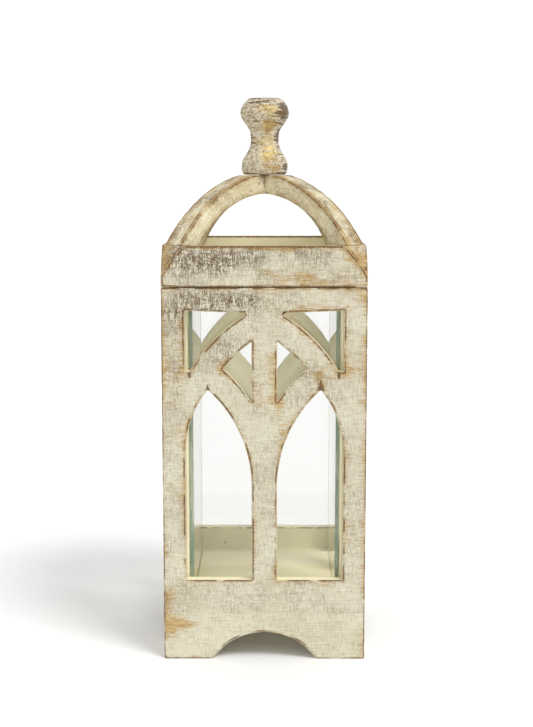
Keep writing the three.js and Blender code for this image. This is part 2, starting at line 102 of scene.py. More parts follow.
def turned_back(points, quarter_turns):
    """Points turned back about Z: across is x cos + y sin, through is y cos - x sin."""
    angle = quarter_turns * math.pi / 2
    x, y, z = points.T
    across = x * np.cos(angle) + y * np.sin(angle)
    through = y * np.cos(angle) - x * np.sin(angle)
    return np.column_stack([across, through, z])


# %% [markdown]
# ## Softened boards
#
# A sawn and painted board has no sharp edge: sanding rounds it, and knocks chip it. The outlines
# are already exact in the CAD, so each board is a copy of its node, with merged corners, rounded
# edges and faces cut into small cells. Where a board ends against its neighbour, paint bridges the
# joint: that end is let out until only a hairline is left, and its edges stay crisp.

# %% Find the neighbours of a board
TOUCH = 0.0006
HALFWAY = 0.5
HAIRLINE = 0.00002
trees = {}
for name, node in frame["nodes"].items():
    corners = [tuple(v.co) for v in node.data.vertices]
    trees[name] = BVHTree.FromPolygons(corners, [tuple(p.vertices) for p in node.data.polygons])


def neighbours_of(node_name):
    """The trees of the nodes on the same body whose boxes come within a touch of this one's."""
    low, high = (np.array(corner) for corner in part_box(node_name))
    found = []
    for name, node in frame["nodes"].items():
        if name == node_name or node["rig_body"] != frame["nodes"][node_name]["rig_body"]:
            continue
        other_low, other_high = (np.array(corner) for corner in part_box(name))
        if (other_low < high + TOUCH).all() and (other_high > low - TOUCH).all():
            found.append(trees[name])
    return found


def gap_to(point, direction, neighbours):
    """How far the nearest neighbour is in a direction, or None when nothing is within a touch."""
    gaps = [tree.ray_cast(point, direction, TOUCH)[3] for tree in neighbours]
    return min((gap for gap in gaps if gap is not None), default=None)


# %% Let the ends out and pick the free edges
def let_out_ends(mesh, neighbours, end_share):
    """Moves each face that lies wholly against a neighbour out, until a hairline is left.

    Level faces and mitres meet halfway, since the neighbour's face moves too. A board's end butts
    against the middle of a wider face that stays where it is, so its end_share is 1.
    """
    for face in list(mesh.faces):
        centre = face.calc_center_median()
        spots = [centre] + [centre.lerp(v.co, 0.9) for v in face.verts]
        gaps = [gap_to(spot, face.normal, neighbours) for spot in spots]
        if None not in gaps:
            share = end_share if abs(face.normal.z) < 0.5 else HALFWAY
            shift = face.normal * (max(gaps) - HAIRLINE) * share
            for vertex in face.verts:
                vertex.co += shift


def is_free(edge, neighbours):
    """An edge is free when nothing lies against either of its faces beside it."""
    for loop in edge.link_loops:
        start, end = loop.vert.co, loop.link_loop_next.vert.co
        inward = loop.face.normal.cross(end - start).normalized()
        spot = (start + end) / 2 + inward * TOUCH
        if gap_to(spot, loop.face.normal, neighbours) is not None:
            return False
    return True


# %% Distances to edges, and waves that stand in for the accidents of handwork
FAR_MM = 90.0
CHUNK = 2000


def distance_to_segments(points, starts, ends):
    """Shortest distance from each point to any segment: drop a foot on it, kept between its ends."""
    best = np.full(len(points), FAR_MM)
    if len(starts) == 0:
        return best
    ways = ends - starts
    squares = (ways**2).sum(1)
    for first in range(0, len(points), CHUNK):
        offsets = points[first : first + CHUNK, None, :] - starts[None]
        along = np.clip((offsets * ways).sum(2) / squares, 0, 1)
        gaps = offsets - along[..., None] * ways
        best[first : first + CHUNK] = np.sqrt((gaps**2).sum(2).min(1))
    return best


def wavy(points, wavelength, seed, waves=9):
    """A smooth random field, mostly from -1 to 1: a sum of sine waves in random directions."""
    rng = np.random.default_rng(seed)
    directions = rng.normal(size=(waves, 3))
    directions /= np.linalg.norm(directions, axis=1)[:, None]
    lengths = wavelength * rng.uniform(0.7, 1.5, waves)
    phases = rng.uniform(0, 2 * math.pi, waves)
    angles = points @ (directions / lengths[:, None]).T * 2 * math.pi + phases
    return np.sin(angles).sum(1) / math.sqrt(waves)


# %% Cut a mesh into cells
def cut_at(mesh, axis, place):
    """Cuts the faces along a plane square to one axis, without taking anything away."""
    point, normal = [0, 0, 0], [0, 0, 0]
    point[axis], normal[axis] = place, 1
    parts = mesh.verts[:] + mesh.edges[:] + mesh.faces[:]
    bmesh.ops.bisect_plane(mesh, geom=parts, dist=1e-6, plane_co=point, plane_no=normal)


def divide(mesh, cell):
    """Cuts the mesh by evenly spaced planes, at most a cell apart, square to each axis."""
    places = np.array([v.co for v in mesh.verts])
    for axis in range(3):
        low, high = places[:, axis].min(), places[:, axis].max()
        for place in np.linspace(low, high, int((high - low) / cell) + 2)[1:-1]:
            cut_at(mesh, axis, place)


# %% Read and write whole arrays
def read(items, name, width=3):
    """One property of every vertex, face or corner, as the rows of an array."""
    values = np.empty(len(items) * width)
    items.foreach_get(name, values)
    return values.reshape(-1, width)


def keep(mesh, name, values, domain="POINT"):
    """Stores one number, or three, for each vertex or face corner, for the materials to read."""
    kind, field = ("FLOAT_VECTOR", "vector") if values.ndim == 2 else ("FLOAT", "value")
    layer = mesh.attributes.new(name, kind, domain)
    layer.data.foreach_set(field, values.astype(np.float32).ravel())


# %% Shape a board's mesh
SAME_CORNER = 2e-6
ON_BOX = 1e-4
FLAT = math.radians(0.5)
SHARP = math.radians(25)
SMOOTH = math.radians(35)


def rounded_mesh(node_name, title, rounding, cell, cuts, end_share):
    """A node's mesh with its free edges rounded. Also gives those edges' two rows of ends."""
    neighbours = neighbours_of(node_name)
    mesh = bmesh.new()
    mesh.from_mesh(frame["nodes"][node_name].data)
    bmesh.ops.remove_doubles(mesh, verts=mesh.verts, dist=SAME_CORNER)
    bmesh.ops.dissolve_limit(mesh, angle_limit=FLAT, verts=mesh.verts, edges=mesh.edges)
    let_out_ends(mesh, neighbours, end_share)
    for axis, place in cuts:
        cut_at(mesh, axis, place)
    sharp = [e for e in mesh.edges if e.is_manifold and e.calc_face_angle() > SHARP]
    free = [e for e in sharp if is_free(e, neighbours)]
    starts = np.array([e.verts[0].co for e in free]).reshape(-1, 3)
    ends = np.array([e.verts[1].co for e in free]).reshape(-1, 3)
    bmesh.ops.bevel(mesh, geom=free, offset=rounding, offset_type="OFFSET", segments=3, profile=0.5,
                    affect="EDGES", clamp_overlap=False)
    if cell:
        divide(mesh, cell)
    bmesh.ops.triangulate(mesh, faces=[f for f in mesh.faces if len(f.verts) > 4])
    data = bpy.data.meshes.new(title)
    mesh.to_mesh(data)
    mesh.free()
    return data, starts, ends


# %% Soften a board
CHIP_REACH = 4
CHIP_WAVES = ((0.009, 1.0), (0.0035, 0.6))
DEEPEST_WAVE = 1.6


def chip_depth(points, edge, rounding, chip, seed):
    """How deep each point is dented: a random wave, where it is positive, times a share.

    The share falls from 1 at a free edge to 0 a few roundings away from it.
    """
    reach = np.clip(1 - edge / (CHIP_REACH * rounding * MM), 0, 1) ** 2
    waves = sum(size * wavy(points, length, seed + n) for n, (length, size) in enumerate(CHIP_WAVES))
    return chip * reach * np.clip(waves, 0, DEEPEST_WAVE) / DEEPEST_WAVE


def softened(node_name, title, rounding, cell=0.0, chip=0.0, seed=0, cuts=(), places_of=None,
             end_share=HALFWAY):
    """A copy of a CAD node with rounded edges, chipped by up to chip along them, in metres.

    edge_mm is the distance to a free edge, and opening_mm to one inside the outline. An edge of
    the outline lies on two sides of the board's box at once.
    """
    data, starts, ends = rounded_mesh(node_name, title, rounding, cell, cuts, end_share)
    points = read(data.vertices, "co")
    gaps_to_box = np.abs(np.stack([starts, ends])[:, :, None] - [points.min(0), points.max(0)])
    border = (gaps_to_box < ON_BOX).all(0).sum((1, 2)) > 1
    edge = distance_to_segments(points, starts, ends) * MM
    opening = distance_to_segments(points, starts[~border], ends[~border]) * MM
    keep(data, "edge_mm", edge)
    keep(data, "opening_mm", opening)
    keep(data, "place_mm", places_of(points) if places_of else points * MM)
    if chip:
        depth = chip_depth(points, edge, rounding, chip, seed)
        points = points - read(data.vertex_normals, "vector") * depth[:, None]
    data.vertices.foreach_set("co", np.clip(points, *cad_bounds).ravel())
    data.shade_smooth()
    data.set_sharp_from_angle(angle=SMOOTH)
    piece = bpy.data.objects.new(title, data)
    bpy.context.scene.collection.objects.link(piece)
    weighted = piece.modifiers.new("flat faces stay flat", "WEIGHTED_NORMAL")
    weighted.keep_sharp = True
    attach(piece, frame["nodes"][node_name]["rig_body"])
    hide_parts(node_name)
    return piece


# %% [markdown]
# ## Writing materials as formulas
#
# A material here is a long sum of small patterns. A few short helpers add one node each and hand
# back its output, so a layer of paint reads as a line of arithmetic.

# %% Node helpers
class Formula:
    """A node tree that is written one node at a time."""

    def __init__(self, tree):
        self.tree = tree

    def add(self, kind, inputs=None, **settings):
        node = self.tree.nodes.new(kind)
        for name, value in settings.items():
            setattr(node, name, value)
        for name, value in (inputs or {}).items():
            self.feed(node.inputs[name], value)
        return node

    def feed(self, socket, value):
        if isinstance(value, bpy.types.NodeSocket):
            self.tree.links.new(value, socket)
        else:
            socket.default_value = value

    def math(self, operation, a, b=0.0, c=0.0):
        return self.add("ShaderNodeMath", {0: a, 1: b, 2: c}, operation=operation).outputs[0]

    def times(self, a, b):
        return self.math("MULTIPLY", a, b)

    def plus(self, a, b):
        return self.math("ADD", a, b)

    def most(self, a, b):
        return self.math("MAXIMUM", a, b)

    def unless(self, a):
        return self.math("SUBTRACT", 1.0, a)

    def step(self, value, low, high, out_low=0.0, out_high=1.0):
        """Goes smoothly from out_low to out_high while value goes from low to high."""
        inputs = {"Value": value, 1: low, 2: high, 3: out_low, 4: out_high}
        return self.add("ShaderNodeMapRange", inputs, interpolation_type="SMOOTHSTEP").outputs[0]

    def mix(self, share, a, b):
        inputs = {"Factor": share, 6: a, 7: b}
        return self.add("ShaderNodeMix", inputs, data_type="RGBA").outputs[2]

    def scaled(self, vector, scale, shift=(0, 0, 0)):
        inputs = {"Vector": vector, "Scale": scale, "Location": shift}
        return self.add("ShaderNodeMapping", inputs).outputs[0]

    def noise(self, vector, detail=2.0, roughness=0.55):
        """Noise whose cells are one unit of the vector wide."""
        inputs = {"Vector": vector, "Scale": 1.0, "Detail": detail, "Roughness": roughness}
        return self.add("ShaderNodeTexNoise", inputs).outputs[0]

    def named(self, name, output="Fac"):
        return self.add("ShaderNodeAttribute", attribute_name=name).outputs[output]


def srgb(red, green, blue):
    """A colour given as three numbers up to 255, as the linear values that shaders use."""
    shares = np.array([red, green, blue]) / 255
    linear = np.where(shares <= 0.04045, shares / 12.92, ((shares + 0.055) / 1.055) ** 2.4)
    return (*linear.tolist(), 1.0)


def new_group(title, inputs, outputs):
    """An empty node group with named sockets. Returns its formula, its inputs and a way to end it."""
    group = bpy.data.node_groups.new(title, "ShaderNodeTree")
    kinds = {"vector": "NodeSocketVector", "number": "NodeSocketFloat", "colour": "NodeSocketColor"}
    for name, kind in inputs.items():
        group.interface.new_socket(name=name, in_out="INPUT", socket_type=kinds[kind])
    for name, kind in outputs.items():
        group.interface.new_socket(name=name, in_out="OUTPUT", socket_type=kinds[kind])
    formula = Formula(group)
    entry = formula.add("NodeGroupInput")
    exit_node = formula.add("NodeGroupOutput")

    def finish_group(**values):
        for name, value in values.items():
            formula.feed(exit_node.inputs[name], value)
        print("group", title, len(group.nodes), "nodes")
        return group

    return formula, entry.outputs, finish_group


def placed(formula, group, inputs):
    """Places a group in a tree and returns its outputs."""
    node = formula.add("ShaderNodeGroup", node_tree=group)
    for name, value in inputs.items():
        formula.feed(node.inputs[name], value)
    return node.outputs


# %% [markdown]
# ## What wear looks like
#
# Five effects turn up again and again, so each is a group with its own inputs.
#
# - *Hairlines*: paint that dries too fast splits into fine lines along and across the brush marks.
#   A stretched noise crosses its middle value along long thin curves, and those curves are kept.
# - *Rubbing*: sandpaper takes the whitewash off in short strokes, most of all near an edge.
# - *Edge line*: the very edge is rubbed down to the brown stain, in broken lengths.
# - *Drip*: stain gathers and runs where two curves meet in a point.
# - *Patch*: a soft round spot, for wear that is worse in one place than in another.

# %% Group: hairlines
def make_hairlines():
    """Fine lines where a stretched noise is within a width of its middle value."""
    f, given, finish = new_group(
        "hairlines",
        {"Place": "vector", "Stretch": "vector", "Width": "number"},
        {"Mask": "number"},
    )
    stretched = f.add("ShaderNodeVectorMath", {0: given["Place"], 1: given["Stretch"]},
                      operation="MULTIPLY").outputs[0]
    noise = f.noise(stretched, detail=3.0, roughness=0.6)
    from_middle = f.math("ABSOLUTE", f.math("SUBTRACT", noise, 0.5))
    share = f.math("DIVIDE", from_middle, given["Width"])
    return finish(Mask=f.step(share, 0.0, 1.0, 1.0, 0.0))


hairlines = make_hairlines()


# %% Group: rubbing
def make_rubbing():
    """Short strokes of noise, with more of them near an edge."""
    f, given, finish = new_group(
        "rubbing",
        {"Place": "vector", "Stretch": "vector", "Edge": "number", "Reach": "number", "Amount": "number"},
        {"Mask": "number"},
    )
    stretched = f.add("ShaderNodeVectorMath", {0: given["Place"], 1: given["Stretch"]},
                      operation="MULTIPLY").outputs[0]
    strokes = f.noise(stretched, detail=3.0, roughness=0.65)
    patches = f.noise(f.scaled(given["Place"], (0.045, 0.045, 0.045)), detail=2.0)
    near = f.math("EXPONENT", f.times(f.math("DIVIDE", given["Edge"], given["Reach"]), -1.0))
    level = f.plus(f.plus(f.times(strokes, 0.9), f.times(patches, 0.7)), f.times(near, 0.42))
    return finish(Mask=f.step(f.plus(level, given["Amount"]), 0.98, 1.3))


rubbing = make_rubbing()


# %% Group: edge line
def make_edge_line():
    """A ragged line a set distance from an edge, broken into lengths."""
    f, given, finish = new_group(
        "edge line",
        {"Place": "vector", "Edge": "number", "Start": "number", "Width": "number", "Amount": "number"},
        {"Mask": "number"},
    )
    broken = f.noise(f.scaled(given["Place"], (0.09, 0.09, 0.09)), detail=3.0)
    ragged = f.noise(f.scaled(given["Place"], (0.7, 0.7, 0.7)), detail=2.0)
    offset = f.math("SUBTRACT", f.math("SUBTRACT", given["Edge"], given["Start"]),
                    f.times(f.math("SUBTRACT", ragged, 0.5), given["Width"]))
    share = f.math("DIVIDE", f.math("ABSOLUTE", offset), given["Width"])
    line = f.step(share, 0.35, 1.0, 1.0, 0.0)
    lengths = f.step(f.plus(broken, given["Amount"]), 0.95, 1.12)
    return finish(Mask=f.times(line, lengths))


edge_line = make_edge_line()


# %% Group: drip
def make_drip():
    """A spot at a tip that runs upward, narrowing as it goes."""
    f, given, finish = new_group(
        "drip",
        {"Place": "vector", "Tip": "vector", "Length": "number", "Width": "number"},
        {"Mask": "number"},
    )
    offset = f.add("ShaderNodeVectorMath", {0: given["Place"], 1: given["Tip"]}, operation="SUBTRACT")
    parts = f.add("ShaderNodeSeparateXYZ", {0: offset.outputs[0]})
    wobble = f.math("SUBTRACT", f.noise(f.scaled(given["Place"], (0.5, 0.5, 0.35)), detail=2.0), 0.5)
    sideways = f.math("ABSOLUTE", f.plus(parts.outputs["X"], f.times(wobble, given["Width"])))
    along = f.math("DIVIDE", parts.outputs["Z"], given["Length"])
    taper = f.times(f.unless(along), given["Width"])
    inside = f.step(f.math("DIVIDE", sideways, f.most(taper, 0.01)), 0.4, 1.0, 1.0, 0.0)
    started = f.step(along, -0.12, 0.0)
    return finish(Mask=f.times(inside, f.times(started, f.step(along, 0.6, 1.0, 1.0, 0.0))))


drip = make_drip()


# %% Group: patch
def make_patch():
    """A round spot that fades with the square of the distance."""
    f, given, finish = new_group(
        "patch",
        {"Place": "vector", "Centre": "vector", "Across": "number", "Up": "number"},
        {"Mask": "number"},
    )
    offset = f.add("ShaderNodeVectorMath", {0: given["Place"], 1: given["Centre"]}, operation="SUBTRACT")
    parts = f.add("ShaderNodeSeparateXYZ", {0: offset.outputs[0]})
    across = f.math("DIVIDE", parts.outputs["X"], given["Across"])
    up = f.math("DIVIDE", parts.outputs["Z"], given["Up"])
    square = f.plus(f.times(across, across), f.times(up, up))
    return finish(Mask=f.math("EXPONENT", f.times(square, -1.0)))


patch = make_patch()

# %% [markdown]
# ## The whitewash
#
# From the wood outwards there is brown stain, a gold ochre coat and a chalky off-white. The top
# coat shows everywhere except where it split, was rubbed, or never covered.

# %% Paint colours
CHALK = srgb(213, 207, 183)
CHALK_GREY = srgb(205, 197, 173)
CREAM = srgb(240, 233, 198)
OCHRE = srgb(190, 158, 90)
GOLD = srgb(168, 126, 46)
STAIN = srgb(78, 50, 20)
SPLIT = srgb(88, 62, 30)
DUSTY = srgb(160, 142, 110)
PALE = srgb(228, 223, 206)
THIN_STAIN = srgb(128, 92, 42)


# %% Wear that is worse in some places
def with_patches(f, level, place, marks):
    """A level raised round each mark, given as (across, up, half width, half height, amount) in mm."""
    for x, z, across, up, amount in marks:
        spot = placed(f, patch, {"Place": place, "Centre": (x, 0, z), "Across": across, "Up": up})
        level = f.plus(level, f.times(spot["Mask"], amount))
    return level


# %% The top coat and its brush marks
def top_coat(f, place, shown, mottle, top, second):
    """The chalky colour: dusty where the brush marks stand high, pale where they lie low."""
    broad = f.noise(f.scaled(place, (0.03, 0.03, 0.03)), detail=3.0)
    colour = f.mix(f.step(broad, 0.4, 0.6), top, second)
    colour = f.mix(f.times(shown, f.step(mottle, 1.06, 1.2, 0.0, 0.4)), colour, DUSTY)
    colour = f.mix(f.times(shown, f.step(mottle, 0.8, 0.94, 0.5, 0.0)), colour, PALE)
    return f.mix(f.named("inner"), colour, CREAM)


# %% Cracks, flakes and pits
def cracks(f, place, shown, weave, where, grain_lines):
    """Where the top coat is split: lines both ways, flakes where it is worst, and small pits."""
    rows = placed(f, hairlines, {"Place": place, "Stretch": (0.07, 0.07, 0.4), "Width": 0.045})
    columns = placed(f, hairlines, {"Place": place, "Stretch": (0.36, 0.36, 0.08), "Width": 0.045})
    lines = f.times(f.most(rows["Mask"], columns["Mask"]), f.step(weave, 0.4, 0.52, 0.3, 1.0))
    flake_noise = f.noise(f.scaled(place, (0.5, 0.5, 0.16), (5, 1, 2)), detail=3.0, roughness=0.75)
    flakes = f.times(f.step(flake_noise, 0.56, 0.6), f.step(where, 0.5, 0.9))
    pit_noise = f.noise(f.scaled(place, (0.8, 0.8, 0.6), (3, 8, 2)), detail=2.0)
    pits = f.times(f.step(pit_noise, 0.58, 0.605), 0.8)
    split = f.most(f.most(lines, pits), flakes)
    split = f.math("MINIMUM", f.times(f.times(split, where), shown), 1.0)
    if grain_lines:
        along = placed(f, hairlines, {"Place": place, "Stretch": grain_lines, "Width": 0.028})
        strength = f.times(f.step(where, 0.3, 0.9, 0.1, 1.0), f.step(shown, 0.5, 1.0))
        split = f.most(split, f.times(along["Mask"], strength))
    return split


# %% Brown lines, drips and pin holes
def stained(f, place, on_wall, shown, line, dark_line, line_width, drips, holes):
    """Where the brown stain shows: beside openings, along edges and in drips. Each pin hole is a dark spot.

    A drip on the outside is (x, z, length, width), and a hole on the inside (x, z, radius), in mm.
    """
    opening = f.named("opening_mm")
    beside = placed(f, edge_line, {"Place": place, "Edge": opening, "Start": 1.2, "Width": 0.8,
                                   "Amount": line})
    along = placed(f, edge_line, {"Place": place, "Edge": f.named("edge_mm"), "Start": 0.1,
                                  "Width": line_width, "Amount": dark_line})
    far_from_opening = f.step(opening, 1.5, 2.5)
    stain = f.most(f.times(beside["Mask"], shown), f.times(along["Mask"], far_from_opening))
    for x, z, length, width in drips:
        run = placed(f, drip, {"Place": on_wall, "Tip": (x, 0, z), "Length": length, "Width": width})
        stain = f.most(stain, f.times(run["Mask"], shown))
    for x, z, radius in holes:
        hole = placed(f, patch, {"Place": on_wall, "Centre": (x, 0, z), "Across": radius, "Up": radius})
        stain = f.most(stain, f.times(hole["Mask"], f.named("inner")))
    return stain


# %% A painted material
RUB_REACH_MM = 5.0


def painted(title, crack=0.5, cracks_at=(), rub=0.0, rubs_at=(), drips=(), holes=(), grain_lines=None,
            strokes=(0.12, 0.12, 0.8), line=0.56, dark_line=0.6, line_width=1.1, top=CHALK,
            second=CHALK_GREY):
    """Worn whitewash. crack and rub say how much, and cracks_at and rubs_at where there is more."""
    material = bpy.data.materials.new(title)
    material.use_nodes = True
    f = Formula(material.node_tree)
    shader = material.node_tree.nodes["Principled BSDF"]
    place = f.named("place_mm", "Vector")
    on_wall = f.named("wall_mm", "Vector")
    shown = f.named("shown")

    grain = f.noise(f.scaled(place, (0.14, 0.14, 1.0)), detail=2.0, roughness=0.7)
    weave = f.noise(f.scaled(place, (1.0, 1.0, 0.14)), detail=2.0, roughness=0.7)
    mottle = f.plus(grain, weave)
    colour = top_coat(f, place, shown, mottle, top, second)
    cracked = f.noise(f.scaled(place, (0.05, 0.05, 0.05), (7, 3, 1)), detail=2.0)
    where = f.step(cracked, 0.4, 0.6, 0.35 * crack, crack)
    split = cracks(f, place, shown, weave, with_patches(f, where, on_wall, cracks_at), grain_lines)

    rub_level = with_patches(f, rub, on_wall, rubs_at)
    rubbed = placed(f, rubbing, {"Place": place, "Stretch": strokes, "Edge": f.named("edge_mm"),
                                 "Reach": RUB_REACH_MM, "Amount": rub_level})
    rub_mask = f.times(rubbed["Mask"], shown)
    colour = f.mix(f.times(rub_mask, 0.8), colour, f.mix(f.step(grain, 0.42, 0.58), OCHRE, GOLD))
    colour = f.mix(f.times(split, 0.9), colour, SPLIT)
    stain = stained(f, place, on_wall, shown, line, dark_line, line_width, drips, holes)
    colour = f.mix(f.times(stain, 0.9), colour, f.mix(f.step(weave, 0.45, 0.6), STAIN, THIN_STAIN))

    worn = f.plus(rub_mask, stain)
    f.feed(shader.inputs["Base Color"], colour)
    f.feed(shader.inputs["Roughness"], f.step(worn, 0.0, 1.0, 0.78, 0.55))
    height = f.plus(f.times(mottle, 0.35), f.times(f.plus(split, worn), -0.5))
    bump = f.add("ShaderNodeBump", {"Height": height, "Strength": 0.6, "Distance": 0.0005})
    f.feed(shader.inputs["Normal"], bump.outputs[0])
    return material


# %% [markdown]
# ## Boards of the case
#
# A brush covers a whole wall at once, so the patterns run on from board to board. Only the faces
# on the outside were cracked and rubbed. The sawn faces in the openings and the inside are plain.

# %% Mark the outside of a wall
HALF_MM = 75.0
OUTER_SKIN_MM = 1.1
INNER_SKIN_MM = 65.0
FACES_SIDEWAYS = 0.35
FACES_PARTLY_UP = 0.3
FACES_UP = 0.9


def mark_outside(piece, top_shown=False):
    """Stores wall_mm, places turned back by the wall that each face looks out of, and two shares.

    shown is 1 on the outside, and inner is 1 on the inside and on the sills.
    """
    data = piece.data
    corners = read(data.polygons, "loop_total", 1).ravel().astype(int)
    normals = read(data.polygons, "normal")
    sideways = np.repeat(np.hypot(normals[:, 0], normals[:, 1]), corners) > FACES_SIDEWAYS
    upward = np.repeat(normals[:, 2], corners)
    turns = np.round(np.arctan2(normals[:, 0], -normals[:, 1]) / (math.pi / 2))
    vertex = read(data.loops, "vertex_index", 1).ravel().astype(int)
    places = read(data.vertices, "co")[vertex] * MM
    on_wall = turned_back(places, np.repeat(turns, corners))
    shown = sideways & (on_wall[:, 1] < OUTER_SKIN_MM - HALF_MM)
    inner = sideways & (on_wall[:, 1] > INNER_SKIN_MM)
    if top_shown:
        shown |= upward > FACES_PARTLY_UP
    else:
        inner |= upward > FACES_UP
    keep(data, "wall_mm", on_wall, "CORNER")
    keep(data, "shown", shown.astype(float), "CORNER")
    keep(data, "inner", inner.astype(float), "CORNER")


# %% Paint for the walls
wall_paint = painted(
    "whitewashed fretwork",
    crack=0.4,
    cracks_at=[(-30, 270, 40, 9, 0.8), (-62, 262, 10, 14, 0.5), (28, 74, 16, 14, 0.5),
               (-28, 70, 16, 10, 0.4), (-30, 232, 14, 12, 0.5), (-66, 225, 8, 30, 0.3),
               (34, 205, 10, 16, 0.3)],
    grain_lines=(0.3, 0.3, 0.035),
    holes=[(-34, 47.8, 0.8)],
    rub=-0.02,
    rubs_at=[(0, 225, 9, 30, 0.2), (-64, 200, 8, 34, 0.2), (12, 180, 6, 24, 0.2), (50, 268, 34, 8, 0.14),
             (41, 216, 5, 6, 0.3), (-30, 222, 10, 10, 0.2), (-62, 130, 8, 20, 0.14), (66, 222, 10, 12, 0.14),
             (-66, 50, 10, 12, 0.2)],
    drips=[(41.4, 204.9, 9, 3.4), (-41.4, 204.9, 5, 2.0), (54.6, 217.5, -6, 2.4), (-54.6, 217.5, -5, 2.8),
           (10, 201.5, -6, 2.0)],
)
apron_paint = painted(
    "whitewashed apron",
    crack=0.12,
    rub=-0.14,
    rubs_at=[(-66, 24, 12, 14, 0.36), (-52, 27, 22, 4, 0.3), (45, 24, 20, 6, 0.32), (70, 10, 6, 10, 0.14),
             (-40, 20, 14, 5, 0.14)],
    top=srgb(215, 209, 184),
    second=srgb(205, 197, 170),
)
header_paint = painted(
    "whitewashed header",
    crack=0.5,
    cracks_at=[(-32, 300, 22, 9, 1.1), (-60, 298, 10, 12, 0.6), (20, 304, 40, 6, 0.3)],
    rub=-0.03,
    rubs_at=[(5, 290, 40, 4, 0.2), (30, 286, 22, 6, 0.22), (50, 300, 18, 8, 0.18), (0, 309, 70, 2, 0.25),
             (76, 302, 9, 10, 0.42), (-76, 302, 9, 10, 0.6), (-68, 300, 3, 8, 0.1)],
    strokes=(0.08, 0.08, 0.8),
    grain_lines=(0.3, 0.3, 0.035),
    dark_line=0.8,
    line_width=1.8,
)
inside_paint = painted("cream inside", crack=0.05, rub=-0.4, line=0.2, dark_line=0.2, top=CREAM,
                       second=srgb(238, 228, 194))
rib_paint = painted(
    "whitewashed rib",
    crack=0.9,
    rub=0.13,
    grain_lines=(0.03, 0.05, 0.3),
    strokes=(0.09, 0.6, 0.6),
    dark_line=1.0,
    line_width=2.0,
    top=srgb(228, 220, 190),
    second=srgb(214, 204, 172),
)
print("paints", [material.name for material in bpy.data.materials if material.name.startswith("white")])

# %% Build the boards
BOARD_ROUNDING = 0.0007
BOARD_CELL = 0.0028
BOARD_CHIP = 0.0004
RAIL_TOP = 0.06115
MULLION_HALF = 0.0094
FLOOR_SEED = 5


def painted_board(node_name, title, material, seed, **options):
    """A softened board that is painted and marked as an outside wall."""
    piece = softened(node_name, title, BOARD_ROUNDING, BOARD_CELL, BOARD_CHIP, seed, **options)
    mark_outside(piece, top_shown=node_name.startswith("header"))
    piece.data.materials.append(material)
    return piece


for number, side in enumerate(QUARTER_TURNS):
    across_axis = number % 2
    rail_cuts = [(across_axis, -MULLION_HALF), (across_axis, MULLION_HALF)]
    for part, material, cuts in (
        ("fretwork", wall_paint, [(2, RAIL_TOP)]),
        ("bottom_rail", wall_paint, rail_cuts),
        ("apron", apron_paint, []),
        ("header", header_paint, []),
    ):
        painted_board(f"{part}_{side}", f"painted_{part}_{side}", material, number, cuts=cuts,
                      end_share=1.0)

painted_board("floor_board", "painted_floor", inside_paint, FLOOR_SEED)
print("boards built")

# %% [markdown]
# ## Ribs
#
# Each rib is sawn from a board along an arc. Its paint is worked out along the arc, below the
# outer face and across, so that the brush marks follow the bend.

# %% Places along a rib
RIB_RADIUS_MM = 122.5
CROWN_FLAT_MM = 20.0
CORNER_CUT_MM = 8.5
header_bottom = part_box("header_front")[0][2]
rib_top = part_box("crown_rib_front_left")[1][2]
crown_edge = np.array([CROWN_FLAT_MM, rib_top * MM])
corner_foot = np.array([HALF_MM * math.sqrt(2), header_bottom * MM + CORNER_CUT_MM])
chord = corner_foot - crown_edge
half_chord = np.linalg.norm(chord) / 2
right_way = np.array([chord[1], -chord[0]]) / (2 * half_chord)
rib_centre = (crown_edge + corner_foot) / 2 + right_way * math.sqrt(RIB_RADIUS_MM**2 - half_chord**2)
print("rib centre, out and up, in mm", rib_centre)


def rib_places(points, turns):
    """Along the rib's arc, below its outer face, and across it, in millimetres."""
    x, y, z = turned_back(points, turns).T * MM
    outward = -(x + y) / math.sqrt(2)
    across = (x - y) / math.sqrt(2)
    offset = np.column_stack([outward, z]) - rib_centre
    along = np.arctan2(offset[:, 0], offset[:, 1]) * RIB_RADIUS_MM
    below = RIB_RADIUS_MM - np.linalg.norm(offset, axis=1)
    return np.column_stack([along + HALF_MM * 4 * turns, below, across])


# %% Build the ribs
RIB_SIDE_SHARE = 0.6
RIB_SEED = 20
for number, (corner, turns) in enumerate(CORNER_TURNS.items()):
    rib = softened(f"crown_rib_{corner}", f"painted_rib_{corner}", BOARD_ROUNDING, BOARD_CELL, BOARD_CHIP,
                   RIB_SEED + number, places_of=lambda points, turns=turns: rib_places(points, turns))
    below = rib_places(read(rib.data.vertices, "co"), turns)[:, 1]
    on_top = below < OUTER_SKIN_MM
    keep(rib.data, "shown", np.where(on_top, 1.0, RIB_SIDE_SHARE))
    keep(rib.data, "inner", np.where(on_top, 0.0, RIB_SIDE_SHARE))
    rib.data.materials.append(rib_paint)
print("ribs built")

# %% [markdown]
# ## Plain wood
#
# Nobody paints what nobody sees: the blocks under the floor and the dowel are bare pine. The posts
# stand beside the glass, so they are painted like the rest of the inside.
# Growth rings are a wave along the distance from the tree's heart, bent by noise.

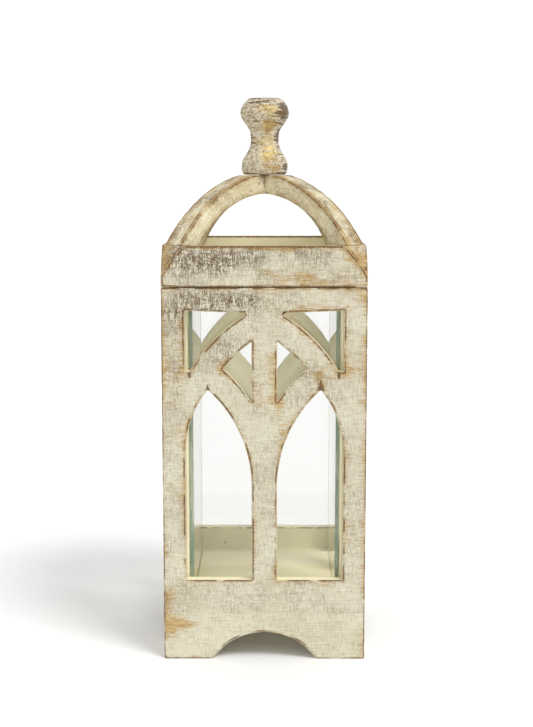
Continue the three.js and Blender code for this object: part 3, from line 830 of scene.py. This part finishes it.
# %% Bare pine
def pine():
    """Bare softwood: rings across the grain and fine fibres along it."""
    material = bpy.data.materials.new("bare pine")
    material.use_nodes = True
    f = Formula(material.node_tree)
    shader = material.node_tree.nodes["Principled BSDF"]
    place = f.scaled(f.named("place_mm", "Vector"), (0.22, 0.22, 0.02), (4, 6, 0))
    wave = f.add("ShaderNodeTexWave", {"Vector": place, "Scale": 1.0, "Distortion": 2.5, "Detail": 3.0},
                 wave_type="RINGS", rings_direction="Z")
    rings = wave.outputs["Fac"]
    fibres = f.noise(f.scaled(f.named("place_mm", "Vector"), (1.6, 1.6, 0.12)), detail=4.0)
    colour = f.mix(f.step(rings, 0.3, 0.9), srgb(222, 190, 142), srgb(190, 146, 94))
    colour = f.mix(f.step(fibres, 0.4, 0.7, 0.0, 0.4), colour, srgb(160, 118, 72))
    f.feed(shader.inputs["Base Color"], colour)
    f.feed(shader.inputs["Roughness"], f.step(fibres, 0.3, 0.7, 0.6, 0.8))
    bump = f.add("ShaderNodeBump", {"Height": fibres, "Strength": 0.4, "Distance": 0.0003})
    f.feed(shader.inputs["Normal"], bump.outputs[0])
    return material


# %% Build the posts, blocks and dowel
bare_pine = pine()
DOWEL_ROUNDING = 0.0002
POST_SEED = 30
BLOCK_SEED = 40
for number, corner in enumerate(CORNER_TURNS):
    painted_board(f"corner_post_{corner}", f"painted_post_{corner}", inside_paint, POST_SEED + number)
    block = softened(f"foot_block_{corner}", f"pine_block_{corner}", BOARD_ROUNDING, BOARD_CELL, BOARD_CHIP,
                     BLOCK_SEED + number)
    block.data.materials.append(bare_pine)
dowel = softened("finial_dowel", "pine_dowel", DOWEL_ROUNDING)
dowel.data.materials.append(bare_pine)
print("posts, blocks and dowel built")

# %% [markdown]
# ## Finial
#
# The finial is turned on a lathe, so it is an outline swept round an axis. The outline is read
# from the frame: the radius at each height. A lathe tool leaves faint rings and the years leave
# dents, so the radius also drops by a small wave of the height and of the place.

# %% The finial's outline
def smooth_outline(heights, radii, count):
    """More points on an outline: a cubic through each span, with slopes taken from its neighbours."""
    slopes = np.gradient(radii, heights)
    places = np.linspace(heights[0], heights[-1], count)
    span = np.clip(np.searchsorted(heights, places) - 1, 0, len(heights) - 2)
    width = heights[span + 1] - heights[span]
    t = (places - heights[span]) / width
    values = (1 + 2 * t) * (1 - t) ** 2 * radii[span] + t * (1 - t) ** 2 * width * slopes[span]
    values += t**2 * (3 - 2 * t) * radii[span + 1] + t**2 * (t - 1) * width * slopes[span + 1]
    return places, values


def revolved(title, heights, radii, around):
    """An outline swept round Z: x = r cos a, y = r sin a. Both ends lie on the axis, as one point."""
    angles = np.linspace(0, 2 * math.pi, around, endpoint=False)
    ring_radii, ring_heights = radii[1:-1], heights[1:-1]
    x = np.outer(ring_radii, np.cos(angles)).ravel()
    y = np.outer(ring_radii, np.sin(angles)).ravel()
    rings = np.column_stack([x, y, np.repeat(ring_heights, around)])
    points = np.vstack([rings, [[0, 0, heights[0]], [0, 0, heights[-1]]]])
    rows = np.arange(len(ring_radii) - 1)[:, None] * around
    here = np.arange(around)[None, :]
    after = (here + 1) % around
    quads = np.stack([rows + here, rows + after, rows + around + after, rows + around + here], axis=-1)
    first, last = len(rings), len(rings) + 1
    foot = np.column_stack([np.full(around, first), after[0], here[0]])
    top_row = len(rings) - around
    head = np.column_stack([np.full(around, last), top_row + here[0], top_row + after[0]])
    data = bpy.data.meshes.new(title)
    data.from_pydata(points.tolist(), [], quads.reshape(-1, 4).tolist() + foot.tolist() + head.tolist())
    piece = bpy.data.objects.new(title, data)
    bpy.context.scene.collection.objects.link(piece)
    return piece


# %% Read the finial's outline
SAME_LEVEL = 1e-6
SAME_RADIUS = 1e-5
NEAR_AXIS = 0.001
finial_points = read(frame["nodes"]["finial"].data.vertices, "co")
finial_heights = finial_points[:, 2]
finial_radii = np.hypot(finial_points[:, 0], finial_points[:, 1])
finial_foot, finial_top = finial_heights.min(), finial_heights.max()
levels = np.unique(np.round(finial_heights, 6))
widest = np.array([finial_radii[np.abs(finial_heights - level) < 2 * SAME_LEVEL].max() for level in levels])
at_foot = finial_heights < finial_foot + SAME_LEVEL
bore_radius = finial_radii[(finial_radii > NEAR_AXIS) & at_foot].min()
in_bore = (np.abs(finial_radii - bore_radius) < SAME_RADIUS) & ~at_foot
bore_end = finial_heights[in_bore].max()
outer = np.abs(levels - bore_end) > SAME_LEVEL
print("finial levels", outer.sum(), "bore", bore_radius, bore_end)

# %% Turn the finial
SIDE_STEPS = 220
BORE_STEPS = 12
AROUND_STEPS = 160
side_heights, side_radii = smooth_outline(levels[outer], widest[outer], SIDE_STEPS)
bore_up = np.linspace(finial_foot, bore_end, BORE_STEPS)
turned_heights = np.concatenate([[bore_end], bore_up[::-1], side_heights, [finial_top]])
turned_radii = np.concatenate([[0.0], np.full(BORE_STEPS, bore_radius), side_radii, [0.0]])
finial = revolved("turned_finial", turned_heights, turned_radii, AROUND_STEPS)
places = read(finial.data.vertices, "co")
radii = np.hypot(places[:, 0], places[:, 1])
print("finial points", len(places))

# %% Dents, tool rings and a nail hole
BORE_MARGIN = 1.3
WIDE_DENT = 0.00035
SMALL_DENT = 0.00012
RING_PITCH = 0.0013
RING_DEPTH = 0.00003
NAIL = np.array([0.0, -0.0175, finial_top - 0.013])
NAIL_RADIUS = 0.0009
NAIL_DEPTH = 0.0012
MEAN_RADIUS_MM = 16
outside = np.clip((radii - bore_radius * BORE_MARGIN) / bore_radius, 0, 1)
wide_dents = np.clip(wavy(places, 0.012, 71) - 0.4, 0, 1.2) * WIDE_DENT
small_dents = np.clip(wavy(places, 0.004, 72), 0, 1) * SMALL_DENT
tool_rings = (1 + np.sin(places[:, 2] * 2 * math.pi / RING_PITCH)) * RING_DEPTH
nail_share = np.exp(-(((places - NAIL) ** 2).sum(1) / NAIL_RADIUS**2))
depth = outside * (wide_dents + small_dents + tool_rings + nail_share * NAIL_DEPTH)
places[:, :2] *= (1 - depth / np.maximum(radii, 1e-4))[:, None]
height_mm = (places[:, 2] - finial_foot) * MM
around_mm = np.arctan2(places[:, 0], -places[:, 1]) * MEAN_RADIUS_MM
finial.data.vertices.foreach_set("co", places.ravel())
finial.data.shade_smooth()
finial.data.set_sharp_from_angle(angle=SMOOTH)
keep(finial.data, "place_mm", places * MM)
keep(finial.data, "nail", nail_share)
keep(finial.data, "height_mm", height_mm)
keep(finial.data, "band_mm", np.column_stack([around_mm, radii * MM, height_mm]))
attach(finial, "lid")
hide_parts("finial")
print("deepest dent in mm", depth.max() * MM)

# %% Where the finial shows gold, a painted highlight and brown
# Gold marks, around and up in mm. The three up the front middle are also a painted highlight, where the
# shine falls. The two at the back are gold only.
GOLD_AND_HIGHLIGHT_MARKS = (
    (5, 50, 7, 5, 0.3),
    (3, 37, 8, 5, 0.3),
    (3, 17, 8, 10, 0.34),
    (50, 30, 14, 20, 0.2),
    (-50, 30, 14, 20, 0.2),
)
BROWN_MARKS = (
    (17, 48, 8, 9, 0.26),
    (20, 27, 7, 10, 0.24),
    (-21, 27, 5, 9, 0.2),
    (19, 5, 6, 6, 0.24),
    (-10, 55, 20, 3, 0.16),
)


def band_round(f, band, up, tall):
    """A band right round the finial, centred at a height."""
    return placed(f, patch, {"Place": band, "Centre": (0, 0, up), "Across": 500.0, "Up": tall})["Mask"]


def gold_highlight_and_brown(f, band, streaks, blotch):
    """Two masks: gold in the hollow and under the head, with a painted highlight up the front middle, and
    brown streaks.
    """
    hollow = band_round(f, band, 26, 9.0)
    head = band_round(f, band, 47, 7.0)
    gold_and_highlight_level = f.plus(f.times(streaks, 0.9), f.times(blotch, 0.8))
    gold_and_highlight_level = f.plus(gold_and_highlight_level, f.plus(f.times(hollow, 0.08), f.times(head, 0.06)))
    gold_and_highlight = f.step(with_patches(f, gold_and_highlight_level, band, GOLD_AND_HIGHLIGHT_MARKS), 0.9, 1.16)
    brown_level = f.plus(streaks, f.times(head, 0.04))
    brown = f.step(with_patches(f, brown_level, band, BROWN_MARKS), 0.62, 0.68)
    return gold_and_highlight, brown


# %% Paint for the finial
def finial_material():
    """Whitewash over gold: worn through on the rims and thin in the hollow, where the gold shows, with a
    painted highlight up the front.
    """
    material = bpy.data.materials.new("worn finial paint")
    material.use_nodes = True
    f = Formula(material.node_tree)
    shader = material.node_tree.nodes["Principled BSDF"]
    place = f.named("place_mm", "Vector")
    band = f.named("band_mm", "Vector")
    height = f.named("height_mm")
    streaks = f.noise(f.scaled(place, (0.06, 0.06, 0.6)), detail=3.0, roughness=0.7)
    blotch = f.noise(f.scaled(place, (0.07, 0.07, 0.07)), detail=3.0)
    fine = f.noise(f.scaled(place, (0.35, 0.35, 0.9)), detail=3.0, roughness=0.75)
    gold_and_highlight, brown = gold_highlight_and_brown(f, band, streaks, blotch)
    split = placed(f, hairlines, {"Place": place, "Stretch": (0.3, 0.3, 0.16), "Width": 0.03})["Mask"]
    radius = f.add("ShaderNodeSeparateXYZ", {0: band}).outputs["Y"]
    top_rim = f.times(f.step(height, 56.8, 57.6), f.step(radius, 9.4, 11.4))
    rim = f.most(top_rim, f.step(height, 0.4, 1.2, 1.0, 0.0))

    colour = f.mix(f.step(fine, 0.46, 0.62), srgb(216, 207, 182), srgb(150, 132, 100))
    # Gold shows through here. Its pale tone, like the gold up the front middle, is a painted highlight.
    colour = f.mix(f.times(gold_and_highlight, 0.85), colour, f.mix(f.step(blotch, 0.42, 0.6), srgb(216, 190, 112), GOLD))
    colour = f.mix(f.times(brown, 0.85), colour, STAIN)
    colour = f.mix(f.times(split, 0.5), colour, SPLIT)
    colour = f.mix(f.times(rim, 0.6), colour, srgb(140, 98, 46))
    colour = f.mix(f.step(f.named("nail"), 0.3, 0.6), colour, srgb(40, 28, 18))
    f.feed(shader.inputs["Base Color"], colour)
    f.feed(shader.inputs["Roughness"], f.step(f.plus(gold_and_highlight, brown), 0.0, 1.0, 0.72, 0.5))
    bump_height = f.plus(f.times(fine, 0.5), f.times(f.plus(gold_and_highlight, split), -0.3))
    bump = f.add("ShaderNodeBump", {"Height": bump_height, "Strength": 0.7, "Distance": 0.0005})
    f.feed(shader.inputs["Normal"], bump.outputs[0])
    return material


finial.data.materials.append(finial_material())
print("finial painted")

# %% [markdown]
# ## Hinges
#
# Cast and rolled brass goes brown where hands don't reach, and stays bright where it rubs.

# %% Aged brass
def brass_material():
    """Metal that is brown in clouds and pale along its edges."""
    material = bpy.data.materials.new("aged brass")
    material.use_nodes = True
    f = Formula(material.node_tree)
    shader = material.node_tree.nodes["Principled BSDF"]
    place = f.named("place_mm", "Vector")
    cloud = f.noise(f.scaled(place, (0.12, 0.12, 0.12)), detail=4.0, roughness=0.5)
    scratch = f.noise(f.scaled(place, (0.25, 2.5, 2.5)), detail=3.0)
    worn = f.step(f.named("edge_mm"), 0.0, 0.6, 1.0, 0.0)
    colour = f.mix(f.step(cloud, 0.3, 0.72), srgb(182, 150, 96), srgb(128, 100, 62))
    colour = f.mix(f.times(worn, 0.6), colour, srgb(216, 190, 132))
    f.feed(shader.inputs["Base Color"], colour)
    shader.inputs["Metallic"].default_value = 1.0
    f.feed(shader.inputs["Roughness"], f.step(f.plus(cloud, f.times(scratch, 0.5)), 0.5, 0.95, 0.28, 0.6))
    bump = f.add("ShaderNodeBump", {"Height": f.plus(cloud, scratch), "Strength": 0.1, "Distance": 0.0001})
    f.feed(shader.inputs["Normal"], bump.outputs[0])
    return material


# %% Build the hinges
HINGE_ROUNDING = 0.0002
SCREW_ROUNDING = 0.0001
LEAF_CELL = 0.0012
aged_brass = brass_material()
for node_name in sorted(frame["nodes"]):
    if node_name.startswith(("hinge_", "screw_")):
        rounding = SCREW_ROUNDING if node_name.startswith("screw_") else HINGE_ROUNDING
        cell = LEAF_CELL if "leaf" in node_name else 0.0
        fitting = softened(node_name, f"brass_{node_name}", rounding, cell)
        fitting.data.materials.append(aged_brass)
print("hinges built")

# %% [markdown]
# ## Glass
#
# Window glass is clear face on and green along its cut edges, where light crosses far more of it.
# Its faces let shadow rays straight through, since thin flat panes cast almost no shadow. Their
# mirroring is turned down, so that the corners behind them can be seen.

# %% Clear glass with a green edge
def glass_material():
    """Clear panes, faintly smeared, that light and shadow pass through unbent."""
    material = bpy.data.materials.new("clear pane")
    material.use_nodes = True
    f = Formula(material.node_tree)
    shader = material.node_tree.nodes["Principled BSDF"]
    smear = f.noise(f.scaled(f.named("place_mm", "Vector"), (0.03, 0.03, 0.05)), detail=3.0)
    f.feed(shader.inputs["Roughness"], f.step(smear, 0.45, 0.7, 0.0, 0.03))
    shader.inputs["Base Color"].default_value = srgb(247, 247, 246)
    shader.inputs["Specular IOR Level"].default_value = 0.12
    shader.inputs["IOR"].default_value = 1.5
    shader.inputs["Transmission Weight"].default_value = 1.0
    light = f.add("ShaderNodeLightPath")
    passing = f.most(light.outputs["Is Shadow Ray"], light.outputs["Is Diffuse Ray"])
    clear = f.add("ShaderNodeBsdfTransparent", {"Color": srgb(253, 253, 252)})
    both = f.add("ShaderNodeMixShader", {0: passing, 1: shader.outputs[0], 2: clear.outputs[0]})
    output = material.node_tree.nodes["Material Output"]
    f.feed(output.inputs["Surface"], both.outputs[0])
    return material


def glass_edge_material():
    """The cut edge of a pane: grey green and slightly streaked."""
    material = bpy.data.materials.new("ground glass edge")
    material.use_nodes = True
    f = Formula(material.node_tree)
    shader = material.node_tree.nodes["Principled BSDF"]
    place = f.named("place_mm", "Vector")
    streak = f.noise(f.scaled(place, (0.4, 0.4, 0.04)), detail=3.0)
    colour = f.mix(f.step(streak, 0.35, 0.65), srgb(122, 142, 126), srgb(168, 180, 160))
    f.feed(shader.inputs["Base Color"], colour)
    shader.inputs["Roughness"].default_value = 0.25
    bump = f.add("ShaderNodeBump", {"Height": streak, "Strength": 0.3, "Distance": 0.0003})
    f.feed(shader.inputs["Normal"], bump.outputs[0])
    return material


# %% Build the panes
PANE_ROUNDING = 0.0003
clear_pane = glass_material()
pane_edge = glass_edge_material()
for side, turns in QUARTER_TURNS.items():
    pane = softened(f"glass_pane_{side}", f"glass_{side}", PANE_ROUNDING)
    pane.data.materials.append(clear_pane)
    pane.data.materials.append(pane_edge)
    through = turned_back(read(pane.data.polygons, "normal"), turns)[:, 1]
    is_edge = np.abs(through) < 0.5
    pane.data.polygons.foreach_set("material_index", is_edge.astype(np.int32))
print("panes built")

# %% [markdown]
# ## Studio

# The room is white all round and lights everything evenly. One large lamp from the front right
# gives soft shadows, and the lantern stands on a pale floor.

# %% Floor
FLOOR_SIZE = 30.0
FLOOR_WHITE = 0.9


def sheet_mesh(title, size, z):
    """A flat square, one face, centred below the lantern."""
    half = size / 2
    corners = [(-half, -half, z), (half, -half, z), (half, half, z), (-half, half, z)]
    data = bpy.data.meshes.new(title)
    data.from_pydata(corners, [], [(0, 1, 2, 3)])
    piece = bpy.data.objects.new(title, data)
    bpy.context.scene.collection.objects.link(piece)
    return piece


floor = sheet_mesh("studio_floor", FLOOR_SIZE, 0.0)
floor_white = bpy.data.materials.new("studio white")
floor_white.use_nodes = True
floor_shader = floor_white.node_tree.nodes["Principled BSDF"]
floor_shader.inputs["Base Color"].default_value = (FLOOR_WHITE, FLOOR_WHITE, FLOOR_WHITE, 1)
floor_shader.inputs["Roughness"].default_value = 0.9
floor.data.materials.append(floor_white)
print("floor", FLOOR_SIZE, "m wide")

# %% Room and lamp
ROOM_LIGHT = 0.84
ROOM_SEEN = 1.05
LAMP_PLACE = (0.45, -0.4, 0.8)
LAMP_STRENGTH = 1.6
LAMP_SPREAD = 22
world = bpy.data.worlds.new("soft white room")
world.use_nodes = True
bpy.context.scene.world = world
w = Formula(world.node_tree)
background = world.node_tree.nodes["Background"]
background.inputs["Color"].default_value = (1, 1, 1, 1)
seen = w.add("ShaderNodeLightPath").outputs["Is Camera Ray"]
w.feed(background.inputs["Strength"], w.step(seen, 0.0, 1.0, ROOM_LIGHT, ROOM_SEEN))


def sun_from(title, place, strength, spread):
    """A distant lamp whose light comes from a place towards the origin, spread in degrees."""
    data = bpy.data.lights.new(title, "SUN")
    data.energy = strength
    data.angle = math.radians(spread)
    lamp = bpy.data.objects.new(title, data)
    bpy.context.scene.collection.objects.link(lamp)
    tilt = math.acos(place[2] / np.linalg.norm(place))
    lamp.location = place
    lamp.rotation_euler = (tilt, 0, math.atan2(place[0], -place[1]))
    return lamp


sun_from("key", LAMP_PLACE, LAMP_STRENGTH, LAMP_SPREAD)
print("lamp at", LAMP_PLACE)

# %% Camera
CAMERA_PLACE = (0.0047, -0.9701, 0.3626)
LOOKS_DOWN = 0.129
LEANS = 0.003
camera_data = bpy.data.cameras.new("camera")
camera_data.sensor_fit = "HORIZONTAL"
camera_data.sensor_width = 36.0
camera_data.lens = 83.95
camera_data.shift_x = -0.001
camera_data.shift_y = -0.0564
camera = bpy.data.objects.new("camera", camera_data)
camera.location = CAMERA_PLACE
camera.rotation_euler = Euler((math.pi / 2 - LOOKS_DOWN, 0.0, LEANS))
bpy.context.scene.collection.objects.link(camera)
bpy.context.scene.camera = camera
bpy.context.scene.view_settings.view_transform = "Standard"
print("camera at", CAMERA_PLACE)
